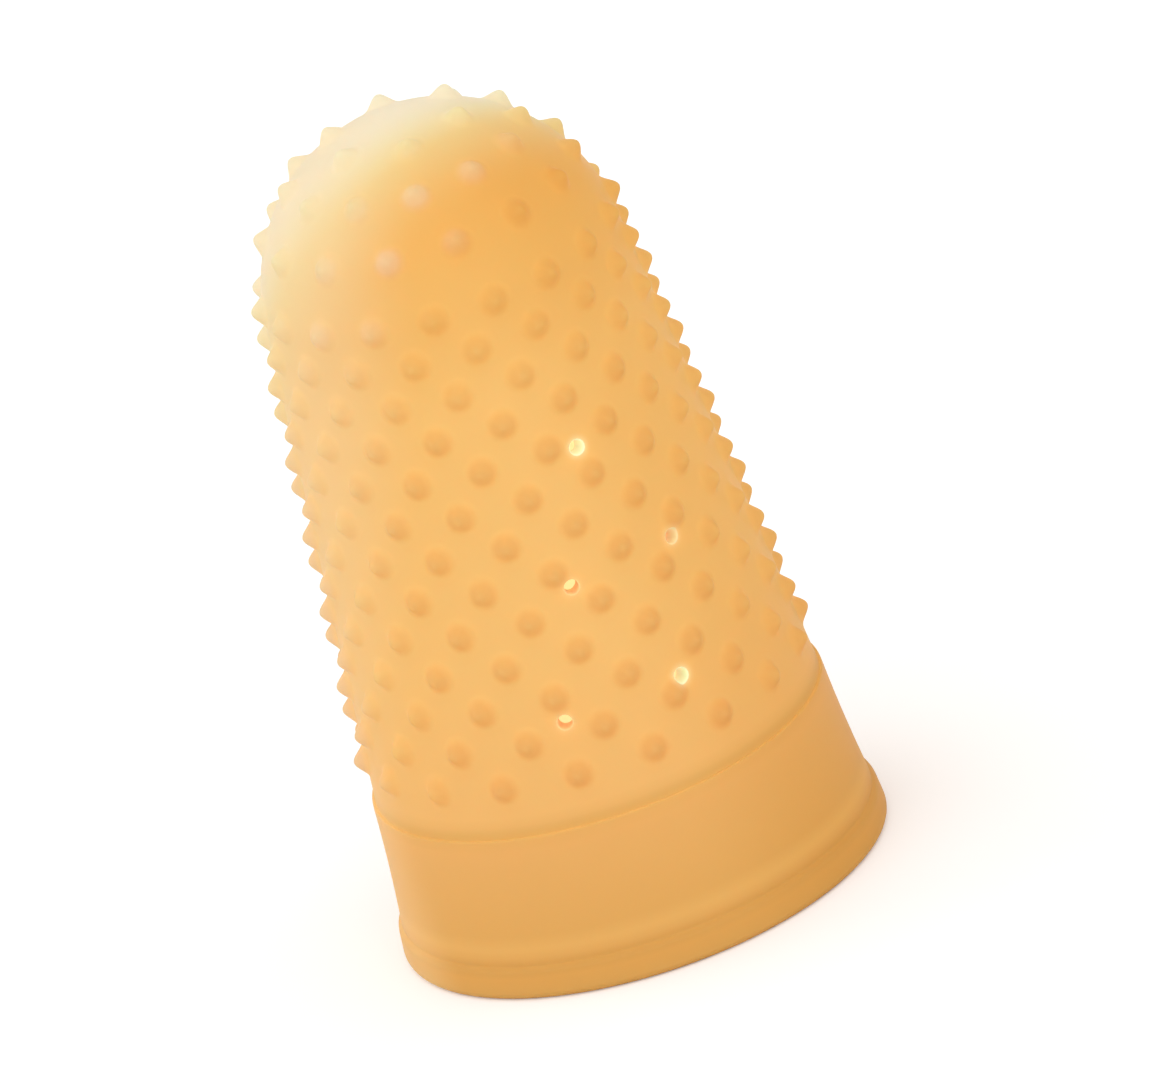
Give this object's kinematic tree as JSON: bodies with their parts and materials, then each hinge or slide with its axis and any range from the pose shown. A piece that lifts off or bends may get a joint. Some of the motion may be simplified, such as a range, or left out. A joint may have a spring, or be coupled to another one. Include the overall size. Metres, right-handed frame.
{
  "type": "finger cot",
  "caption": "Moulded rubber finger cot: a tapered domed thimble with grip nubs, a smooth flared collar and small ventilation holes, worn on a fingertip to turn paper.",
  "frame": {"origin": "centre of the open mouth, in the plane of its rim", "axes": "+Z along the cot's axis from the mouth to the domed tip, -Y towards the side that has the ventilation holes"},
  "size_m": [0.0212, 0.0212, 0.0363],
  "materials": {
    "natural_rubber": "satin, slightly translucent amber"
  },
  "bodies": {
    "root": {"finger_cot": "natural_rubber"}
  },
  "joints": []
}
